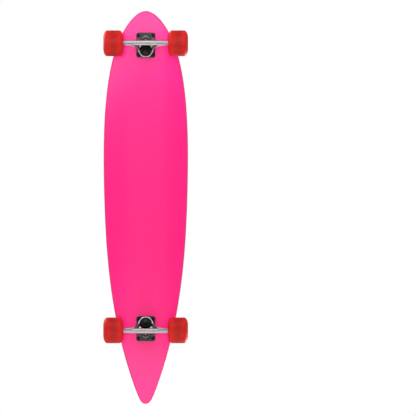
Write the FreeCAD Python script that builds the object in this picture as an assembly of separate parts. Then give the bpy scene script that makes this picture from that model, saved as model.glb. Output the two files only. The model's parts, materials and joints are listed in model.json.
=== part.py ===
import FreeCAD, Part
import math
import os

# Longboard skateboard: a pintail deck on two trucks with sprung hangers and four wheels.
# Millimetres and degrees. +Z is up, the wheels stand on z = 0, the nose points to +Y, the axles lie along X.

# Deck
deck_length = 1067.0
deck_width = 229.0
deck_thickness = 11.5
deck_flat_width = 64.0  # strip along the middle that is flat across
deck_concave_radius = 500.0  # both rails curve up from that strip
deck_nose_radius = 280.0  # the nose bends up past the front base plate
deck_tail_radius = 1400.0  # the tail bends up past the rear base plate
deck_flat_margin = 2.0  # flat length left past each base plate
deck_lower_edge_radius = 4.0
deck_upper_edge_radius = 1.5
# Control points of one side, from the nose tip to the tail tip: (share of length, share of width)
deck_outline_shares = [
    (0.0, 0.0), (0.0, 0.077), (0.032, 0.240), (0.115, 0.410), (0.260, 0.503), (0.450, 0.502),
    (0.640, 0.463), (0.800, 0.351), (0.915, 0.204), (0.982, 0.092), (1.0, 0.047), (1.0, 0.0),
]

# Grip tape
grip_thickness = 0.9
grip_edge_margin = 0.3  # bare deck left inside the rounded upper edge

# Places of the trucks
front_axle_share = 0.083  # nose tip to front axle, as a share of the deck's length
wheelbase_share = 0.729  # between the axles, as a share of the deck's length
axle_drop = 58.5  # deck underside to axle centre
axle_offset = 4.0  # axle centre from the base plate's middle, towards the pivot

# Base plate
plate_length = 68.0
plate_width = 51.0
plate_thickness = 4.5
plate_corner_radius = 7.0
plate_edge_radius = 1.2
plate_rib_spacing = 20.0
plate_rib_width = 4.5
plate_rib_height = 5.0
plate_fan_rib_angle = 27.0  # two short ribs spread from the pivot housing to the plate's end
plate_fan_rib_width = 3.0
plate_fan_rib_height = 3.0
plate_fan_rib_margin = 2.5  # left before the plate's end
spare_hole_step = 9.5  # spare holes lie this far inside the pivot-side bolts
boss_radius = 14.5  # round the kingpin's seat
boss_root_radius = 17.0

# Mounting bolts and nuts
bolt_spacing_length = 53.98
bolt_spacing_width = 41.28
bolt_diameter = 4.8
bolt_clearance = 0.2
bolt_head_diameter = 9.2
bolt_head_rim = 0.4
bolt_head_recess = 0.2  # below the face of the grip tape
bolt_tip_length = 1.6  # past the nut
bolt_nut_flats = 9.5
bolt_nut_height = 4.4
bolt_nut_collar_radius = 4.1
bolt_nut_collar_height = 1.4

# Kingpin and what is stacked on it
kingpin_lean = 20.0  # from upright, the nut towards the middle of the board
kingpin_diameter = 9.5
kingpin_head_flats = 14.2
kingpin_head_height = 5.0
kingpin_head_clearance = 0.15
kingpin_seat_wall = 4.6  # metal between the head and the boardside washer
kingpin_tip_length = 2.4
kingpin_nut_flats = 14.2
kingpin_nut_height = 6.2
kingpin_nut_collar_radius = 6.4
kingpin_nut_collar_height = 2.0
stack_washer_thickness = 1.5
boardside_washer_radius = 13.6
roadside_washer_radius = 12.8
bushing_bore_clearance = 0.4
boardside_bushing_length = 15.0
boardside_bushing_radius = 14.6
boardside_bushing_waist = 13.2
roadside_bushing_length = 11.0
roadside_bushing_base_radius = 16.8
roadside_bushing_tip_radius = 12.4
bushing_edge = 0.8

# Pivot of the hanger
pivot_offset = 15.5  # from the base plate's middle
pivot_depth = 13.0  # below the deck underside
pivot_lean = 14.2
pivot_ball_radius = 4.8
pivot_neck_radius = 3.9
pivot_root_radius = 6.8
pivot_length = 44.0  # ball centre to the root in the hanger
pivot_clearance = 0.3
pivot_cup_wall = 1.4
pivot_cup_lip = 2.0
pivot_housing_wall = 4.0

# Hanger
hanger_width = 150.0  # between the wheels' inner speed washers
beam_middle_radius = 6.1  # tube round the axle
beam_end_radius = 5.6
beam_middle_length = 34.0  # stretch of even thickness
beam_collar_radius = 7.0  # turned end that the speed washer bears on
beam_collar_length = 3.0
# A stout ridge along the beam, by the pivot
stout_ridge_middle_offset = 3.6  # ridge centre to axle, along the board
stout_ridge_end_offset = 2.6
stout_ridge_middle_radius = 4.6
stout_ridge_end_radius = 3.3
stout_ridge_drop = 4.0  # ridge centre below the axle centre
# A slim arm on each side, from the wheel in to the yoke's flank
slim_arm_end_radius = 2.3
slim_arm_root_radius = 3.5
# Its middle line: shares of the hanger's half width, of the run and of the rise from axle to kingpin ring
slim_arm_shares = [
    (0.96, 0.21, -0.18), (0.55, 0.27, -0.18), (0.42, 0.42, -0.05), (0.345, 0.65, 0.25), (0.265, 1.0, 0.73),
]
yoke_offset = 13.0  # middle of the kingpin's ring, from the base plate's middle
yoke_depth = 31.0  # below the deck underside
yoke_half_width = 21.5
yoke_back_length = 21.0
yoke_back_width = 42.0
yoke_floor = 6.5  # metal between the two bushing seats
yoke_boardside_seat = 1.5
yoke_roadside_rim = 2.0
yoke_hole_radius = 8.0
yoke_edge_radius = 1.0
bushing_seat_clearance = 0.5
web_depth = 13.0  # thickness of the post between beam and yoke, along the board
web_top_width = 42.0
web_foot_width = 84.0
web_waist_share = 0.98  # waist of the post as a share of its top width
web_inset = 0.5  # middle of the post from the axle, towards the pivot
gusset_root_reach = 15.0  # arm from the yoke's side out to the beam: distances from the board's middle line
gusset_bend_reach = 27.0
gusset_end_reach = 48.0
gusset_root_height = 13.0
gusset_root_depth = 12.5
gusset_end_height = 9.5
gusset_end_depth = 8.5
gusset_bend_rise_share = 0.42  # height left over the beam at the bend
gusset_bend_run_share = 0.36  # distance left from the beam at the bend
# Half of the yoke's outline in shares of its half width: sideways and towards the board's middle
yoke_side_start_share = (1.0, -0.08)
yoke_side_middle_share = (0.80, 0.42)
yoke_side_end_share = (0.45, 0.84)
yoke_nose_share = (0.0, 0.90)

# Axle and what is stacked on it
axle_diameter = 8.0
axle_tip_length = 2.2
axle_chamfer = 0.8
speed_washer_thickness = 0.8
speed_washer_radius = 5.8
speed_washer_clearance = 0.1
axle_nut_flats = 12.7
axle_nut_height = 5.6
axle_nut_collar_radius = 5.6
axle_nut_collar_height = 1.9

# Bearings
bearing_width = 7.0
bearing_diameter = 22.0
bearing_inner_wall = 1.9
bearing_outer_wall = 1.4
bearing_ball_clearance = 0.1
bearing_ball_ring_width = 3.6
bearing_shield_thickness = 0.4
bearing_shield_inset = 0.3
bearing_shield_clearance = 0.3
spacer_length = 10.0
spacer_radius = 5.4
spacer_clearance = 0.05

# Wheel
wheel_diameter = 70.0
wheel_width = 54.0
wheel_tread_width = 39.0
wheel_tread_radius = 3.0
wheel_lip_radius = 17.0
wheel_side_bow = 1.7  # how far the side wall bulges past a straight line
wheel_lip_round = 1.5
wheel_hub_radius = 13.0
wheel_core_radius = 8.6

close_fit = 0.02  # pressed, threaded and sliding fits
cut_overrun = 5.0
wall_share = 0.2  # a face whose normal rises by less than this is an upright wall

# Derived places
wheel_radius = wheel_diameter / 2
deck_underside = wheel_radius + axle_drop
deck_top = deck_underside + deck_thickness
front_axle_y = deck_length / 2 - deck_length * front_axle_share
rear_axle_y = front_axle_y - deck_length * wheelbase_share
front_plate_y = front_axle_y - axle_offset
rear_plate_y = rear_axle_y + axle_offset
nose_bend_y = front_plate_y + plate_length / 2 + deck_flat_margin
tail_bend_y = rear_plate_y - plate_length / 2 - deck_flat_margin
grip_inset = deck_upper_edge_radius + grip_edge_margin
kingpin_radius = kingpin_diameter / 2
axle_radius = axle_diameter / 2
half_hanger = hanger_width / 2
bearing_gap_middle = half_hanger + speed_washer_thickness + bearing_width + spacer_length / 2
bearing_middle = (spacer_length + bearing_width) / 2

# Heights along the kingpin, from the middle of the yoke's floor, towards the road
floor_boardside = -yoke_floor / 2
floor_roadside = yoke_floor / 2
boardside_washer_height = floor_boardside - boardside_bushing_length
seat_height = boardside_washer_height - stack_washer_thickness
head_height = seat_height - kingpin_seat_wall
roadside_washer_height = floor_roadside + roadside_bushing_length
kingpin_nut_seat = roadside_washer_height + stack_washer_thickness
kingpin_end = kingpin_nut_seat + kingpin_nut_height + kingpin_nut_collar_height + kingpin_tip_length

across = FreeCAD.Vector(1, 0, 0)
along = FreeCAD.Vector(0, 1, 0)
upward = FreeCAD.Vector(0, 0, 1)
origin = FreeCAD.Vector(0, 0, 0)


def point(x, y, z):
    return FreeCAD.Vector(x, y, z)


def ring(outer_radius, inner_radius, start, length):
    # Tube along +Z; an inner radius of zero gives a plain cylinder.
    solid = Part.makeCylinder(outer_radius, length, point(0, 0, start))
    if inner_radius > 0:
        bore = Part.makeCylinder(inner_radius, length + 2 * cut_overrun, point(0, 0, start - cut_overrun))
        solid = solid.cut(bore)
    return solid


def hexagon(flats, start, length):
    # Six-sided prism along +Z with flats to both sides.
    corner = flats / math.sqrt(3)
    turns = [math.radians(60 * side + 30) for side in range(7)]
    corners = [point(corner * math.cos(turn), corner * math.sin(turn), start) for turn in turns]
    return Part.Face(Part.makePolygon(corners)).extrude(upward * length)


def lock_nut(flats, height, collar_radius, collar_height, bore_radius, start):
    # Hexagon with its outer corners turned off, and a round locking collar.
    corner = flats / math.sqrt(3)
    drop = corner - flats / 2
    turned = Part.makeCone(corner, flats / 2, drop, point(0, 0, start + height - drop))
    turned = turned.fuse(Part.makeCylinder(corner, height - drop, point(0, 0, start)))
    body = hexagon(flats, start, height).common(turned)
    body = body.fuse(Part.makeCylinder(collar_radius, collar_height, point(0, 0, start + height)))
    bore_length = height + collar_height + 2 * cut_overrun
    bore = Part.makeCylinder(bore_radius, bore_length, point(0, 0, start - cut_overrun))
    return body.cut(bore).removeSplitter()


def revolved(profile):
    # Turns a closed outline of (radius, height) corners round Z.
    corners = [point(radius, 0, height) for radius, height in profile]
    return Part.Face(Part.makePolygon(corners + corners[:1])).revolve(origin, upward, 360)


def leaned(shape, lean, offset, depth):
    # Moves a shape built along +Z to a truck's own frame: +Z turns to face the road and leans by an angle.
    placed = shape.copy()
    turn = FreeCAD.Rotation(across, 180 + lean)
    placed.Placement = FreeCAD.Placement(point(0, offset, -depth), turn)
    return placed


def on_kingpin(shape):
    return leaned(shape, kingpin_lean, yoke_offset, yoke_depth)


def on_pivot(shape):
    return leaned(shape, pivot_lean, -pivot_offset, pivot_depth)


def along_axle(shape, distance):
    # Turns a shape built along +Z to lie along +X, in the wheel's frame with its axle at the origin.
    placed = shape.copy()
    placed.Placement = FreeCAD.Placement(point(distance, 0, 0), FreeCAD.Rotation(along, 90))
    return placed


def both_ends(shape):
    # A piece on the +X end of an axle, and the same piece turned round for the -X end.
    other = shape.copy()
    other.rotate(origin, upward, 180)
    return [shape, other]


def at_axle(shape):
    placed = shape.copy()
    placed.translate(point(0, -axle_offset, -axle_drop))
    return placed


def deck_outline(inset):
    # Plan face of the pintail: one smooth side and its mirror image.
    length = deck_length - 2 * inset
    width = deck_width - 2 * inset
    poles = [point(side * width, length / 2 - back * length, 0) for back, side in deck_outline_shares]
    curve = Part.BSplineCurve()
    curve.buildFromPoles(poles, False, 3)
    side = curve.toShape()
    return Part.Face(Part.Wire([side, side.mirror(origin, across)]))


def deck_layer(lower, thickness, inset):
    # Layer of the pressed board, from a height above the underside.
    # It is flat along the middle, its rails curve up, and its nose and tail bend up.
    flat = deck_flat_width / 2
    sweep = math.asin((deck_width / 2 + cut_overrun - flat) / deck_concave_radius)
    centre = deck_underside + deck_concave_radius

    def rail(radius, turn, side):
        return point(side * (flat + radius * math.sin(turn)), tail_bend_y, centre - radius * math.cos(turn))

    def face_edges(radius, splined):
        left = Part.Arc(rail(radius, sweep, -1), rail(radius, sweep / 2, -1), rail(radius, 0, -1))
        right = Part.Arc(rail(radius, 0, 1), rail(radius, sweep / 2, 1), rail(radius, sweep, 1))
        if splined:
            left = left.toBSpline()
            right = right.toBSpline()
        middle = Part.makeLine(rail(radius, 0, -1), rail(radius, 0, 1))
        return [left.toShape(), middle, right.toShape()]

    def section(splined):
        low_radius = deck_concave_radius - lower
        high_radius = low_radius - thickness
        edges = face_edges(low_radius, splined) + face_edges(high_radius, splined)
        for side in (-1, 1):
            edges.append(Part.makeLine(rail(low_radius, sweep, side), rail(high_radius, sweep, side)))
        return Part.Face(Part.Wire(Part.__sortEdges__(edges)))

    middle = section(False).extrude(along * (nose_bend_y - tail_bend_y))

    nose_reach = (deck_length / 2 - nose_bend_y + cut_overrun) / (deck_nose_radius - lower - thickness)
    nose_section = section(True).translated(along * (nose_bend_y - tail_bend_y))
    nose_centre = point(0, nose_bend_y, deck_underside + deck_nose_radius)
    nose = nose_section.revolve(nose_centre, across, math.degrees(math.asin(nose_reach)))

    tail_reach = (deck_length / 2 + tail_bend_y + cut_overrun) / (deck_tail_radius - lower - thickness)
    tail_centre = point(0, tail_bend_y, deck_underside + deck_tail_radius)
    tail = section(True).revolve(tail_centre, across, -math.degrees(math.asin(tail_reach)))

    slab = middle.multiFuse([nose, tail])
    block = deck_outline(inset)
    block.translate(upward * (slab.BoundBox.ZMin - cut_overrun))
    block = block.extrude(upward * (slab.BoundBox.ZLength + 2 * cut_overrun))
    return slab.common(block).Solids[0]


def upright_share(face):
    low_u, high_u, low_v, high_v = face.ParameterRange
    return face.normalAt((low_u + high_u) / 2, (low_v + high_v) / 2).z


def rim_edges(solid, upper):
    # Edges where the upright wall meets the upper or the lower face.
    walls = [face for face in solid.Faces if abs(upright_share(face)) < wall_share]
    others = [face for face in solid.Faces if abs(upright_share(face)) >= wall_share]
    others = [face for face in others if (upright_share(face) > 0) == upper]
    wall_codes = {edge.hashCode() for face in walls for edge in face.Edges}
    return [edge for face in others for edge in face.Edges if edge.hashCode() in wall_codes]


def is_upright(edge):
    run = edge.tangentAt(edge.FirstParameter)
    return abs(run.z) > abs(run.x) + abs(run.y)


def bolt_places():
    # Bolt centres of one base plate, in the truck's frame.
    half_length = bolt_spacing_length / 2
    half_width = bolt_spacing_width / 2
    return [(side * half_width, end * half_length) for side in (-1, 1) for end in (-1, 1)]


def truck_places():
    return [(front_plate_y, 180), (rear_plate_y, 0)]


def set_on_board(shape, plate_y, turn):
    # Puts a piece from a truck's frame, with the deck underside at zero, under the board.
    placed = shape.copy()
    placed.rotate(origin, upward, turn)
    placed.translate(point(0, plate_y, deck_underside))
    return placed


def bolt_holes(clearance):
    # Countersunk holes for all eight bolts, from the face of the grip tape down.
    holes = []
    for plate_y, turn in truck_places():
        for x, y in bolt_places():
            hole = mounting_bolt(clearance, cut_overrun)
            hole.translate(point(x, y, 0))
            holes.append(set_on_board(hole, plate_y, turn))
    return holes


def mounting_bolt(clearance, overrun):
    # Flat-headed bolt through grip tape, deck and base plate; the deck underside is at zero.
    radius = bolt_diameter / 2 + clearance
    head_radius = bolt_head_diameter / 2 + clearance
    top = deck_thickness + grip_thickness - bolt_head_recess
    rim = top - bolt_head_rim
    neck = rim - (head_radius - radius)
    tip = plate_thickness + bolt_nut_height + bolt_nut_collar_height + bolt_tip_length
    profile = [
        (0, top + overrun), (head_radius, top + overrun), (head_radius, rim),
        (radius, neck), (radius, -tip - overrun), (0, -tip - overrun),
    ]
    return revolved(profile)


def deck():
    board = deck_layer(0, deck_thickness, 0)
    board = board.makeFillet(deck_lower_edge_radius, rim_edges(board, False))
    board = board.makeFillet(deck_upper_edge_radius, rim_edges(board, True))
    return board.cut(bolt_holes(bolt_clearance))


def grip_tape():
    return deck_layer(deck_thickness, grip_thickness, grip_inset).cut(bolt_holes(bolt_clearance))


def mounting_bolts():
    bolts = []
    for x, y in bolt_places():
        bolts.append(mounting_bolt(0, 0).translated(point(x, y, 0)))
    return Part.makeCompound(bolts)


def mounting_nuts():
    nut = lock_nut(
        bolt_nut_flats, bolt_nut_height, bolt_nut_collar_radius, bolt_nut_collar_height,
        bolt_diameter / 2 + close_fit, 0,
    )
    nut = leaned(nut, 0, 0, plate_thickness)
    return Part.makeCompound([nut.translated(point(x, y, 0)) for x, y in bolt_places()])


def pivot_pocket(clearance):
    # Round-bottomed hollow about the pivot's ball, open towards the road.
    radius = pivot_ball_radius + clearance
    return Part.makeSphere(radius).fuse(Part.makeCylinder(radius, pivot_cup_lip + cut_overrun))


def pivot_cup():
    gap = pivot_clearance
    outer = Part.makeSphere(pivot_ball_radius + gap + pivot_cup_wall)
    outer = outer.fuse(Part.makeCylinder(pivot_ball_radius + gap + pivot_cup_wall, pivot_cup_lip))
    upper_half = Part.makeCylinder(
        pivot_ball_radius + gap + pivot_cup_wall, pivot_depth + pivot_cup_lip, point(0, 0, -pivot_depth)
    )
    return on_pivot(outer.common(upper_half).cut(pivot_pocket(gap)).removeSplitter())


def baseplate():
    # Cast plate with a leaning kingpin boss, a pivot housing, two ribs between them and two past the housing.
    corner = point(-plate_width / 2, -plate_length / 2, -plate_thickness)
    plate = Part.makeBox(plate_width, plate_length, plate_thickness, corner)
    plate = plate.makeFillet(plate_corner_radius, [edge for edge in plate.Edges if is_upright(edge)])
    road_face = min(plate.Faces, key=lambda face: face.CenterOfMass.z)
    plate = plate.makeFillet(plate_edge_radius, road_face.Edges)

    boss_length = 2 * (seat_height + yoke_depth)
    boss = Part.makeCone(boss_root_radius, boss_radius, boss_length, point(0, 0, seat_height - boss_length))
    housing_radius = pivot_ball_radius + pivot_clearance + pivot_cup_wall + pivot_housing_wall
    reach = 2 * pivot_depth
    housing = Part.makeCylinder(housing_radius, reach, point(0, -pivot_offset, -reach))
    above_lip = Part.makeCylinder(2 * housing_radius, reach, point(0, 0, pivot_cup_lip - reach))
    pieces = [on_kingpin(boss), housing.common(on_pivot(above_lip))]
    for side in (-1, 1):
        corner = point(side * plate_rib_spacing / 2 - plate_rib_width / 2, -pivot_offset, -plate_thickness)
        rib = Part.makeBox(plate_rib_width, pivot_offset + yoke_offset, plate_rib_height, corner)
        pieces.append(rib.translated(upward * -plate_rib_height))
        fan_length = plate_length / 2 - pivot_offset - plate_fan_rib_margin
        corner = point(-plate_fan_rib_width / 2, -fan_length, -plate_thickness - plate_fan_rib_height)
        fan_rib = Part.makeBox(plate_fan_rib_width, fan_length, plate_fan_rib_height, corner)
        fan_rib = fan_rib.rotated(origin, upward, side * plate_fan_rib_angle)
        pieces.append(fan_rib.translated(along * -pivot_offset))
    casting = plate.multiFuse(pieces)

    above = Part.makeBox(2 * plate_width, 2 * plate_length, yoke_depth, point(-plate_width, -plate_length, 0))
    kingpin_hole = Part.makeCylinder(
        kingpin_radius + close_fit, 2 * yoke_depth, point(0, 0, seat_height - yoke_depth)
    )
    head_pocket = hexagon(
        kingpin_head_flats + 2 * kingpin_head_clearance, head_height - yoke_depth, yoke_depth
    )
    cup_wall = pivot_clearance + pivot_cup_wall + close_fit
    cuts = [above, on_kingpin(kingpin_hole), on_kingpin(head_pocket), on_pivot(pivot_pocket(cup_wall))]
    hole_radius = bolt_diameter / 2 + bolt_clearance
    spare_y = spare_hole_step - bolt_spacing_length / 2
    spare = [(side * bolt_spacing_width / 2, spare_y) for side in (-1, 1)]
    for x, y in bolt_places() + spare:
        cuts.append(Part.makeCylinder(hole_radius, yoke_depth, point(x, y, -yoke_depth / 2)))
    return casting.cut(cuts).removeSplitter()


def kingpin():
    body = Part.makeCylinder(kingpin_radius, kingpin_end - head_height, point(0, 0, head_height))
    head = hexagon(kingpin_head_flats, head_height - kingpin_head_height, kingpin_head_height)
    return on_kingpin(body.fuse(head).removeSplitter())


def kingpin_nut():
    return on_kingpin(lock_nut(
        kingpin_nut_flats, kingpin_nut_height, kingpin_nut_collar_radius, kingpin_nut_collar_height,
        kingpin_radius + close_fit, kingpin_nut_seat,
    ))


def boardside_washer():
    bore = kingpin_radius + close_fit
    return on_kingpin(ring(boardside_washer_radius, bore, seat_height, stack_washer_thickness))


def roadside_washer():
    bore = kingpin_radius + close_fit
    return on_kingpin(ring(roadside_washer_radius, bore, roadside_washer_height, stack_washer_thickness))


def boardside_bushing():
    # Barrel with a slight waist and broken edges.
    bore = kingpin_radius + bushing_bore_clearance
    low = boardside_washer_height
    high = floor_boardside
    wide = boardside_bushing_radius
    profile = [
        (bore, low), (wide - bushing_edge, low), (wide, low + bushing_edge),
        (boardside_bushing_waist, (low + high) / 2), (wide, high - bushing_edge), (wide - bushing_edge, high),
        (bore, high),
    ]
    return on_kingpin(revolved(profile))


def roadside_bushing():
    # Cone with its wide end in the yoke.
    bore = kingpin_radius + bushing_bore_clearance
    low = floor_roadside
    high = roadside_washer_height
    profile = [
        (bore, low), (roadside_bushing_base_radius, low),
        (roadside_bushing_base_radius, low + yoke_roadside_rim),
        (roadside_bushing_tip_radius, high - bushing_edge),
        (roadside_bushing_tip_radius - bushing_edge, high), (bore, high),
    ]
    return on_kingpin(revolved(profile))


def yoke():
    # Shield-shaped plate round the kingpin, flaring out to the beam, with a seat for each bushing.
    half = yoke_half_width

    def outline_point(share, side):
        return point(side * share[0] * half, -share[1] * half, 0)

    def back_corner(side):
        return point(side * yoke_back_width / 2, yoke_back_length, 0)

    edges = [Part.makeLine(back_corner(-1), back_corner(1))]
    for side in (-1, 1):
        start = outline_point(yoke_side_start_share, side)
        end = outline_point(yoke_side_end_share, side)
        edges.append(Part.Arc(start, outline_point(yoke_side_middle_share, side), end).toShape())
        edges.append(Part.makeLine(start, back_corner(side)))
    nose_ends = [outline_point(yoke_side_end_share, side) for side in (-1, 1)]
    edges.append(Part.Arc(nose_ends[0], outline_point(yoke_nose_share, 1), nose_ends[1]).toShape())
    low = floor_boardside - yoke_boardside_seat
    high = floor_roadside + yoke_roadside_rim
    face = Part.Face(Part.Wire(Part.__sortEdges__(edges)))
    plate = face.translated(upward * low).extrude(upward * (high - low))
    rims = [edge for edge in plate.Edges if not is_upright(edge)]
    return on_kingpin(plate.makeFillet(yoke_edge_radius, rims))


def hanger_beam():
    # Tapered tube round the axle with a turned collar at each end.
    even = beam_middle_length / 2
    collar = half_hanger - beam_collar_length
    profile = [
        (0, -half_hanger), (beam_collar_radius, -half_hanger), (beam_collar_radius, -collar),
        (beam_end_radius, -collar), (beam_middle_radius, -even),
        (beam_middle_radius, even), (beam_end_radius, collar),
        (beam_collar_radius, collar), (beam_collar_radius, half_hanger), (0, half_hanger),
    ]
    return at_axle(along_axle(revolved(profile), 0))


def rod(stations):
    # Round rod through circles across the board: place along the axle, offset, rise and radius of each.
    loops = []
    for x, offset, rise, radius in stations:
        loops.append(Part.Wire(Part.makeCircle(radius, point(x, offset, rise), across)))
    return at_axle(Part.makeLoft(loops, True, False))


def stout_ridge():
    # Rounded ridge under the beam, slimmer and nearer to the axle at the wheels.
    even = beam_middle_length / 2
    collar = half_hanger - beam_collar_length
    middle = (-stout_ridge_middle_offset, -stout_ridge_drop, stout_ridge_middle_radius)
    end = (-stout_ridge_end_offset, -stout_ridge_drop, stout_ridge_end_radius)
    return rod([(-collar, *end), (-even, *middle), (even, *middle), (collar, *end)])


def slim_arm(side):
    # Rounded arm that leaves the beam's foot and bends up to the yoke, thicker towards the yoke.
    rise = axle_drop - yoke_depth
    run = yoke_offset + axle_offset
    steps = len(slim_arm_shares) - 1
    stations = []
    for step, shares in enumerate(slim_arm_shares):
        radius = slim_arm_end_radius + (slim_arm_root_radius - slim_arm_end_radius) * step / steps
        stations.append((side * shares[0] * half_hanger, shares[1] * run, shares[2] * rise, radius))
    return rod(stations)


def oval(centre, tall, deep):
    # Closed oval loop from its centre and the two half axes, the longer one first.
    return Part.Wire(Part.Ellipse(centre + tall, centre + deep, centre).toShape())


def hanger_web():
    # Waisted post that carries the yoke over the beam.
    top = axle_drop - yoke_depth - yoke_back_length / 2 * math.sin(math.radians(kingpin_lean))
    widths = [(0, web_foot_width), (top / 2, web_top_width * web_waist_share), (top, web_top_width)]
    loops = []
    for height, width in widths:
        loops.append(oval(point(0, -web_inset, height), across * (width / 2), along * (web_depth / 2)))
    return at_axle(Part.makeLoft(loops, True, False))


def hanger_gusset(side):
    # Curved arm from the yoke's side down and out to the beam.
    rise = axle_drop - yoke_depth
    run = yoke_offset + axle_offset
    stations = [
        (gusset_root_reach, run, rise, gusset_root_height, gusset_root_depth),
        (gusset_bend_reach, run * gusset_bend_run_share, rise * gusset_bend_rise_share,
         (gusset_root_height + gusset_end_height) / 2, (gusset_root_depth + gusset_end_depth) / 2),
        (gusset_end_reach, 0, 0, gusset_end_height, gusset_end_depth),
    ]
    loops = []
    for reach, offset, height, tall, deep in stations:
        loops.append(oval(point(side * reach, offset, height), upward * (tall / 2), along * (deep / 2)))
    return at_axle(Part.makeLoft(loops, True, False))


def pivot_stub():
    # Ball-ended stub that stands in the pivot cup.
    neck_start = pivot_cup_lip
    cone = Part.makeCone(
        pivot_neck_radius, pivot_root_radius, pivot_length - neck_start, point(0, 0, neck_start)
    )
    neck = Part.makeCylinder(pivot_neck_radius, neck_start)
    return on_pivot(Part.makeSphere(pivot_ball_radius).multiFuse([neck, cone]))


def hanger():
    # One casting: beam, ridge, arms, post, gussets, yoke and pivot stub, cut for axle, kingpin and bushings.
    pieces = [hanger_web(), yoke(), pivot_stub(), stout_ridge()]
    for side in (-1, 1):
        pieces += [hanger_gusset(side), slim_arm(side)]
    casting = hanger_beam().multiFuse(pieces)
    bore = at_axle(along_axle(ring(axle_radius + close_fit, 0, -hanger_width, 2 * hanger_width), 0))
    hole = ring(yoke_hole_radius, 0, -yoke_depth, 2 * yoke_depth)
    boardside = ring(
        boardside_bushing_radius + bushing_seat_clearance, 0, floor_boardside - yoke_floor, yoke_floor
    )
    roadside = ring(roadside_bushing_base_radius + bushing_seat_clearance, 0, floor_roadside, yoke_depth)
    cuts = [bore, on_kingpin(hole), on_kingpin(boardside), on_kingpin(roadside)]
    return casting.cut(cuts).removeSplitter()


def axle():
    reach = half_hanger + 2 * speed_washer_thickness + 2 * bearing_width + spacer_length
    reach += axle_nut_height + axle_nut_collar_height + axle_tip_length
    tip = axle_radius - axle_chamfer
    profile = [
        (0, -reach), (tip, -reach), (axle_radius, axle_chamfer - reach),
        (axle_radius, reach - axle_chamfer), (tip, reach), (0, reach),
    ]
    return at_axle(along_axle(revolved(profile), 0))


def bearing_starts():
    # Inner faces of the two bearings of one wheel, along the axle.
    first = half_hanger + speed_washer_thickness
    return [first, first + bearing_width + spacer_length]


def axle_stack(pieces):
    # The same pieces on both ends of an axle.
    solids = []
    for piece, distance in pieces:
        solids += both_ends(along_axle(piece, distance))
    return at_axle(Part.makeCompound(solids))


def bearing_inner_rings():
    bore = axle_radius + close_fit
    race = ring(axle_radius + bearing_inner_wall, bore, 0, bearing_width)
    return axle_stack([(race, start) for start in bearing_starts()])


def bearing_spacers():
    spacer = ring(spacer_radius, axle_radius + spacer_clearance, 0, spacer_length)
    return axle_stack([(spacer, bearing_starts()[0] + bearing_width)])


def speed_washers():
    washer = ring(speed_washer_radius, axle_radius + speed_washer_clearance, 0, speed_washer_thickness)
    return axle_stack([(washer, half_hanger), (washer, bearing_starts()[1] + bearing_width)])


def axle_nuts():
    nut = lock_nut(
        axle_nut_flats, axle_nut_height, axle_nut_collar_radius, axle_nut_collar_height,
        axle_radius + close_fit, 0,
    )
    return axle_stack([(nut, bearing_starts()[1] + bearing_width + speed_washer_thickness)])


def wheel():
    # Cast tyre: flat tread, bulging side walls, a hub hollow on both sides and a seat for each bearing.
    half_tread = wheel_tread_width / 2
    half_width = wheel_width / 2
    half_core = spacer_length / 2
    seat = half_core + bearing_width
    seat_radius = bearing_diameter / 2 + close_fit

    def corner(radius, distance):
        return point(radius, 0, distance)

    def one_side(side):
        tread = corner(wheel_radius, side * half_tread)
        lip = corner(wheel_lip_radius, side * half_width)
        run = tread - lip
        outward = point(-side * run.z, 0, side * run.x).normalize() * wheel_side_bow
        bulge = (tread + lip) / 2 + outward * (1 if outward.z * side > 0 else -1)
        wall = Part.Arc(tread, bulge, lip).toShape()
        hollow = [
            lip, corner(wheel_lip_radius - wheel_lip_round, side * half_width),
            corner(wheel_hub_radius, side * seat), corner(seat_radius, side * seat),
            corner(seat_radius, side * half_core), corner(wheel_core_radius, side * half_core),
        ]
        return [wall] + [Part.makeLine(first, last) for first, last in zip(hollow, hollow[1:])]

    edges = one_side(-1) + one_side(1)
    edges.append(Part.makeLine(corner(wheel_radius, -half_tread), corner(wheel_radius, half_tread)))
    edges.append(Part.makeLine(corner(wheel_core_radius, -half_core), corner(wheel_core_radius, half_core)))
    tyre = Part.Face(Part.Wire(Part.__sortEdges__(edges))).revolve(origin, upward, 360)
    treads = [edge for edge in tyre.Edges if is_tread_edge(edge)]
    return tyre.makeFillet(wheel_tread_radius, treads)


def is_tread_edge(edge):
    return isinstance(edge.Curve, Part.Circle) and edge.Curve.Radius > wheel_radius - close_fit


def bearing_outer_rings():
    outer = bearing_diameter / 2
    race = ring(outer, outer - bearing_outer_wall, 0, bearing_width)
    return in_wheel([(race, side * bearing_middle - bearing_width / 2) for side in (-1, 1)])


def bearing_ball_rings():
    # Balls in their cage, as one closed ring between the races.
    outer = bearing_diameter / 2 - bearing_outer_wall - bearing_ball_clearance
    inner = axle_radius + bearing_inner_wall + bearing_ball_clearance
    balls = ring(outer, inner, 0, bearing_ball_ring_width)
    return in_wheel([(balls, side * bearing_middle - bearing_ball_ring_width / 2) for side in (-1, 1)])


def bearing_shields():
    outer = bearing_diameter / 2 - bearing_outer_wall
    inner = axle_radius + bearing_inner_wall + bearing_shield_clearance
    shield = ring(outer, inner, 0, bearing_shield_thickness)
    starts = []
    for side in (-1, 1):
        middle = side * bearing_middle
        face = bearing_width / 2 - bearing_shield_inset
        starts += [middle - face, middle + face - bearing_shield_thickness]
    return in_wheel([(shield, start) for start in starts])


def in_wheel(pieces):
    return Part.makeCompound([piece.translated(upward * start) for piece, start in pieces])


def save(name, shape):
    shape.exportStep("parts/" + name + ".step")


os.makedirs("parts", exist_ok=True)
save("deck", deck())
save("grip_tape", grip_tape())

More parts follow.
